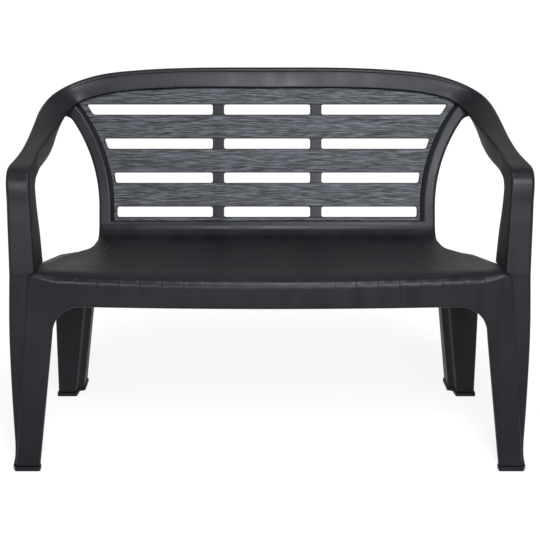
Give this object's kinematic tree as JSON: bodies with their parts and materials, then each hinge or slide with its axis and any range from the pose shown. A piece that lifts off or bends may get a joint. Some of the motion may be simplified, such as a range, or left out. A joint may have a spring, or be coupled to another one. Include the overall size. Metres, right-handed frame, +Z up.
{
  "type": "garden bench",
  "caption": "Two-seat moulded garden bench with armrests, a slatted curved back and open hollow legs.",
  "frame": {"origin": "on the floor, in the middle of the bench's overall width and depth", "axes": "+X along the bench to the right as seen from the front, +Y from the front to the back, +Z up"},
  "size_m": [1.127, 0.56, 0.8369],
  "materials": {
    "satin_moulding": "satin anthracite polypropylene",
    "grained_slats": "anthracite polypropylene with an embossed wood grain"
  },
  "bodies": {
    "root": {"front_apron": "satin_moulding", "seat_panel": "satin_moulding", "top_rail": "satin_moulding", "lower_back_band": "satin_moulding", "top_slat": "grained_slats", "upper_slat": "grained_slats", "middle_slat": "grained_slats", "lower_slat": "grained_slats", "bottom_slat": "grained_slats", "rear_skirt": "satin_moulding", "seat_ribs": "satin_moulding", "left_apron_corner": "satin_moulding", "right_apron_corner": "satin_moulding", "left_front_leg": "satin_moulding", "right_front_leg": "satin_moulding", "left_leg_side": "satin_moulding", "right_leg_side": "satin_moulding", "left_arm_post": "satin_moulding", "right_arm_post": "satin_moulding", "left_armrest": "satin_moulding", "right_armrest": "satin_moulding", "left_shoulder": "satin_moulding", "right_shoulder": "satin_moulding", "left_back_post": "satin_moulding", "right_back_post": "satin_moulding", "left_mullion": "satin_moulding", "right_mullion": "satin_moulding", "left_side_skirt": "satin_moulding", "right_side_skirt": "satin_moulding", "left_rear_leg": "satin_moulding", "right_rear_leg": "satin_moulding", "front_left_foot": "satin_moulding", "front_right_foot": "satin_moulding", "rear_left_foot": "satin_moulding", "rear_right_foot": "satin_moulding"}
  },
  "joints": []
}
